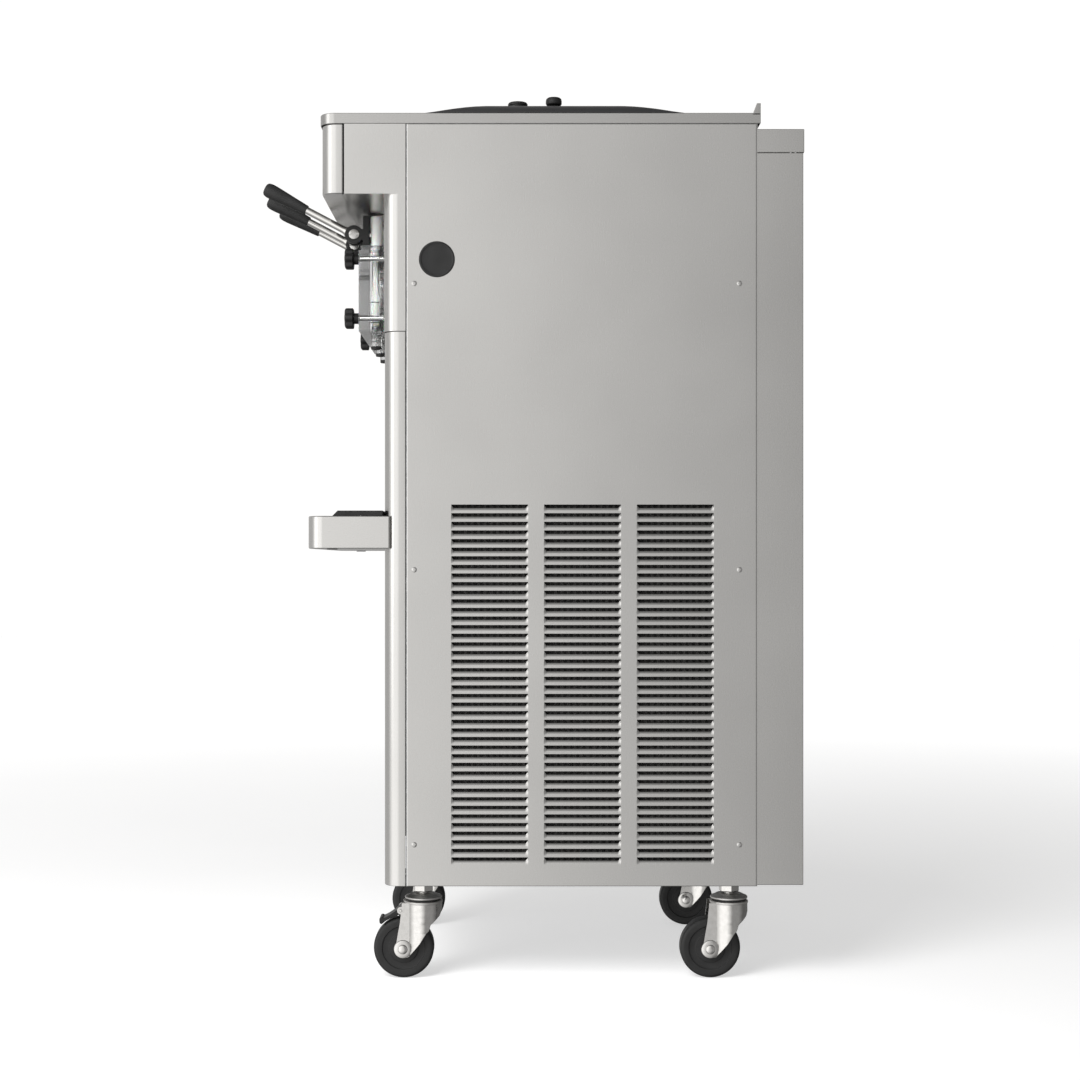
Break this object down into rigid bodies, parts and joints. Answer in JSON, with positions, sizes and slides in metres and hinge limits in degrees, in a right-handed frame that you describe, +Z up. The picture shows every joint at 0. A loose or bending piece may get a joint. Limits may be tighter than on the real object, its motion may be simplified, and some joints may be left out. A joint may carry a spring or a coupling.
{
  "type": "soft-serve ice cream maker",
  "caption": "Floor-standing soft-serve ice cream maker on swivel casters, with lidded mix hoppers, clear draw head with levers, drip tray, louvred sides and rear exhaust duct.",
  "frame": {"origin": "on the floor, under the middle of the machine's bounding box", "axes": "+Z up, the front with its levers and drip tray faces -Y, X across the width"},
  "size_m": [0.5424, 0.8732, 1.4108],
  "materials": {
    "stainless_sheet": "satin brushed",
    "galvanised_sheet": "matt zinc",
    "polished_steel": "polished",
    "plated_steel": "bright zinc plated",
    "black_plastic": "satin moulded",
    "white_plastic": "satin turned",
    "clear_plastic": "clear polished",
    "display_glass": "gloss",
    "black_paint": "semi gloss",
    "cast_metal": "cast",
    "condenser_fins": "finned",
    "belt_rubber": "matt",
    "tyre_rubber": "satin"
  },
  "bodies": {
    "root": {"base_pan": "galvanised_sheet", "frame": "galvanised_sheet", "side_panel_left": "stainless_sheet", "side_panel_right": "stainless_sheet", "lower_front_panel": "stainless_sheet", "head_housing": "stainless_sheet", "control_fascia": "stainless_sheet", "display_panel": "display_glass", "top_cover": "stainless_sheet", "back_panel": "galvanised_sheet", "rear_duct": "stainless_sheet", "side_plugs": "black_plastic", "panel_screws": "polished_steel", "cable_gland": "black_plastic", "mix_hoppers": "stainless_sheet", "freezing_cylinders": "plated_steel", "gear_reducers": "cast_metal", "drive_motor": "black_paint", "drive_belts": "belt_rubber", "compressor": "black_paint", "condenser": "condenser_fins", "draw_head": "clear_plastic", "draw_head_studs": "polished_steel", "nozzle_caps": "black_plastic", "lever_brackets": "black_plastic", "lever_pins": "polished_steel", "caster_stems": "plated_steel"},
    "hopper_lid_left": {"hopper_lid_left": "black_plastic"},
    "hopper_lid_right": {"hopper_lid_right": "black_plastic"},
    "motor_pulley": {"motor_pulley": "cast_metal"},
    "reducer_pulley_left": {"reducer_pulley_left": "cast_metal"},
    "beater_left": {"beater_left": "plated_steel"},
    "reducer_pulley_right": {"reducer_pulley_right": "cast_metal"},
    "beater_right": {"beater_right": "plated_steel"},
    "condenser_fan": {"condenser_fan": "black_plastic"},
    "lever_left": {"lever_left": "polished_steel", "grip_left": "black_plastic"},
    "plunger_left": {"plunger_left": "white_plastic"},
    "lever_centre": {"lever_centre": "polished_steel", "grip_centre": "black_plastic"},
    "plunger_centre": {"plunger_centre": "white_plastic"},
    "lever_right": {"lever_right": "polished_steel", "grip_right": "black_plastic"},
    "plunger_right": {"plunger_right": "white_plastic"},
    "star_knob_upper_left": {"star_knob_upper_left": "black_plastic"},
    "star_knob_upper_right": {"star_knob_upper_right": "black_plastic"},
    "star_knob_lower_left": {"star_knob_lower_left": "black_plastic"},
    "star_knob_lower_right": {"star_knob_lower_right": "black_plastic"},
    "drip_tray": {"drip_tray": "stainless_sheet"},
    "drip_grid": {"drip_grid": "black_plastic"},
    "caster_fork_front_left": {"caster_fork_front_left": "plated_steel"},
    "caster_wheel_front_left": {"caster_wheel_front_left": "tyre_rubber"},
    "caster_fork_front_right": {"caster_fork_front_right": "plated_steel"},
    "caster_wheel_front_right": {"caster_wheel_front_right": "tyre_rubber"},
    "caster_fork_rear_left": {"caster_fork_rear_left": "plated_steel"},
    "caster_wheel_rear_left": {"caster_wheel_rear_left": "tyre_rubber"},
    "caster_fork_rear_right": {"caster_fork_rear_right": "plated_steel"},
    "caster_wheel_rear_right": {"caster_wheel_rear_right": "tyre_rubber"},
    "brake_pedal_left": {"brake_pedal_left": "black_plastic"},
    "brake_pedal_right": {"brake_pedal_right": "black_plastic"}
  },
  "joints": [
    {"name": "lid_lift_left", "type": "slide", "parent": "root", "child": "hopper_lid_left", "axis": [0, 0, 1], "range_m": [0, 0.12]},
    {"name": "lid_lift_right", "type": "slide", "parent": "root", "child": "hopper_lid_right", "axis": [0, 0, 1], "range_m": [0, 0.12]},
    {"name": "motor_pulley_spin", "type": "hinge", "parent": "root", "child": "motor_pulley", "pos_m": [0, 0.31083, 0.88], "axis": [0, 1, 0], "continuous": true},
    {"name": "reducer_pulley_spin_left", "type": "hinge", "parent": "root", "child": "reducer_pulley_left", "pos_m": [-0.1, 0.31083, 1.097], "axis": [0, 1, 0], "continuous": true},
    {"name": "beater_spin_left", "type": "hinge", "parent": "root", "child": "beater_left", "pos_m": [-0.1, -0.01917, 1.097], "axis": [0, 1, 0], "continuous": true},
    {"name": "reducer_pulley_spin_right", "type": "hinge", "parent": "root", "child": "reducer_pulley_right", "pos_m": [0.1, 0.31083, 1.097], "axis": [0, 1, 0], "continuous": true},
    {"name": "beater_spin_right", "type": "hinge", "parent": "root", "child": "beater_right", "pos_m": [0.1, -0.01917, 1.097], "axis": [0, 1, 0], "continuous": true},
    {"name": "condenser_fan_spin", "type": "hinge", "parent": "root", "child": "condenser_fan", "pos_m": [0, 0.32983, 0.4], "axis": [0, 1, 0], "continuous": true},
    {"name": "lever_pull_left", "type": "hinge", "parent": "root", "child": "lever_left", "pos_m": [-0.1, -0.27787, 1.1918], "axis": [1, 0, 0], "range_deg": [0, 34]},
    {"name": "plunger_lift_left", "type": "slide", "parent": "root", "child": "plunger_left", "axis": [0, 0, 1], "range_m": [0, 0.0202]},
    {"name": "lever_pull_centre", "type": "hinge", "parent": "root", "child": "lever_centre", "pos_m": [0, -0.28587, 1.1918], "axis": [1, 0, 0], "range_deg": [0, 34]},
    {"name": "plunger_lift_centre", "type": "slide", "parent": "root", "child": "plunger_centre", "axis": [0, 0, 1], "range_m": [0, 0.0246]},
    {"name": "lever_pull_right", "type": "hinge", "parent": "root", "child": "lever_right", "pos_m": [0.1, -0.27787, 1.1918], "axis": [1, 0, 0], "range_deg": [0, 34]},
    {"name": "plunger_lift_right", "type": "slide", "parent": "root", "child": "plunger_right", "axis": [0, 0, 1], "range_m": [0, 0.0202]},
    {"name": "star_knob_turn_upper_left", "type": "hinge", "parent": "root", "child": "star_knob_upper_left", "pos_m": [-0.148, -0.26567, 1.145], "axis": [0, -1, 0], "continuous": true},
    {"name": "star_knob_turn_upper_right", "type": "hinge", "parent": "root", "child": "star_knob_upper_right", "pos_m": [0.148, -0.26567, 1.145], "axis": [0, -1, 0], "continuous": true},
    {"name": "star_knob_turn_lower_left", "type": "hinge", "parent": "root", "child": "star_knob_lower_left", "pos_m": [-0.148, -0.26567, 1.049], "axis": [0, -1, 0], "continuous": true},
    {"name": "star_knob_turn_lower_right", "type": "hinge", "parent": "root", "child": "star_knob_lower_right", "pos_m": [0.148, -0.26567, 1.049], "axis": [0, -1, 0], "continuous": true},
    {"name": "drip_tray_pull", "type": "slide", "parent": "root", "child": "drip_tray", "axis": [0, -1, 0], "range_m": [0, 0.15]},
    {"name": "drip_grid_lift", "type": "slide", "parent": "drip_tray", "child": "drip_grid", "axis": [0, 0, 1], "range_m": [0, 0.06]},
    {"name": "caster_swivel_front_left", "type": "hinge", "parent": "root", "child": "caster_fork_front_left", "pos_m": [-0.21, -0.15887, 0.12], "axis": [0, 0, 1], "continuous": true},
    {"name": "caster_roll_front_left", "type": "hinge", "parent": "caster_fork_front_left", "child": "caster_wheel_front_left", "pos_m": [-0.21, -0.18937, 0.0475], "axis": [1, 0, 0], "continuous": true},
    {"name": "caster_swivel_front_right", "type": "hinge", "parent": "root", "child": "caster_fork_front_right", "pos_m": [0.21, -0.15887, 0.12], "axis": [0, 0, 1], "continuous": true},
    {"name": "caster_roll_front_right", "type": "hinge", "parent": "caster_fork_front_right", "child": "caster_wheel_front_right", "pos_m": [0.21, -0.18937, 0.0475], "axis": [1, 0, 0], "continuous": true},
    {"name": "caster_swivel_rear_left", "type": "hinge", "parent": "root", "child": "caster_fork_rear_left", "pos_m": [-0.21, 0.32443, 0.12], "axis": [0, 0, 1], "continuous": true},
    {"name": "caster_roll_rear_left", "type": "hinge", "parent": "caster_fork_rear_left", "child": "caster_wheel_rear_left", "pos_m": [-0.21, 0.29393, 0.0475], "axis": [1, 0, 0], "continuous": true},
    {"name": "caster_swivel_rear_right", "type": "hinge", "parent": "root", "child": "caster_fork_rear_right", "pos_m": [0.21, 0.32443, 0.12], "axis": [0, 0, 1], "continuous": true},
    {"name": "caster_roll_rear_right", "type": "hinge", "parent": "caster_fork_rear_right", "child": "caster_wheel_rear_right", "pos_m": [0.21, 0.29393, 0.0475], "axis": [1, 0, 0], "continuous": true},
    {"name": "brake_press_left", "type": "hinge", "parent": "caster_fork_front_left", "child": "brake_pedal_left", "pos_m": [-0.21, -0.19187, 0.107], "axis": [1, 0, 0], "range_deg": [0, 4]},
    {"name": "brake_press_right", "type": "hinge", "parent": "caster_fork_front_right", "child": "brake_pedal_right", "pos_m": [0.21, -0.19187, 0.107], "axis": [1, 0, 0], "range_deg": [0, 4]}
  ],
  "couplings": [
    {"joint": "reducer_pulley_spin_left", "follows": "motor_pulley_spin", "ratio": 0.75},
    {"joint": "beater_spin_left", "follows": "motor_pulley_spin", "ratio": 0.09375},
    {"joint": "reducer_pulley_spin_right", "follows": "motor_pulley_spin", "ratio": 0.75},
    {"joint": "beater_spin_right", "follows": "motor_pulley_spin", "ratio": 0.09375},
    {"joint": "plunger_lift_left", "follows": "lever_pull_left", "m_per_rad": 0.03374},
    {"joint": "plunger_lift_centre", "follows": "lever_pull_centre", "m_per_rad": 0.04127},
    {"joint": "plunger_lift_right", "follows": "lever_pull_right", "m_per_rad": 0.03374}
  ]
}
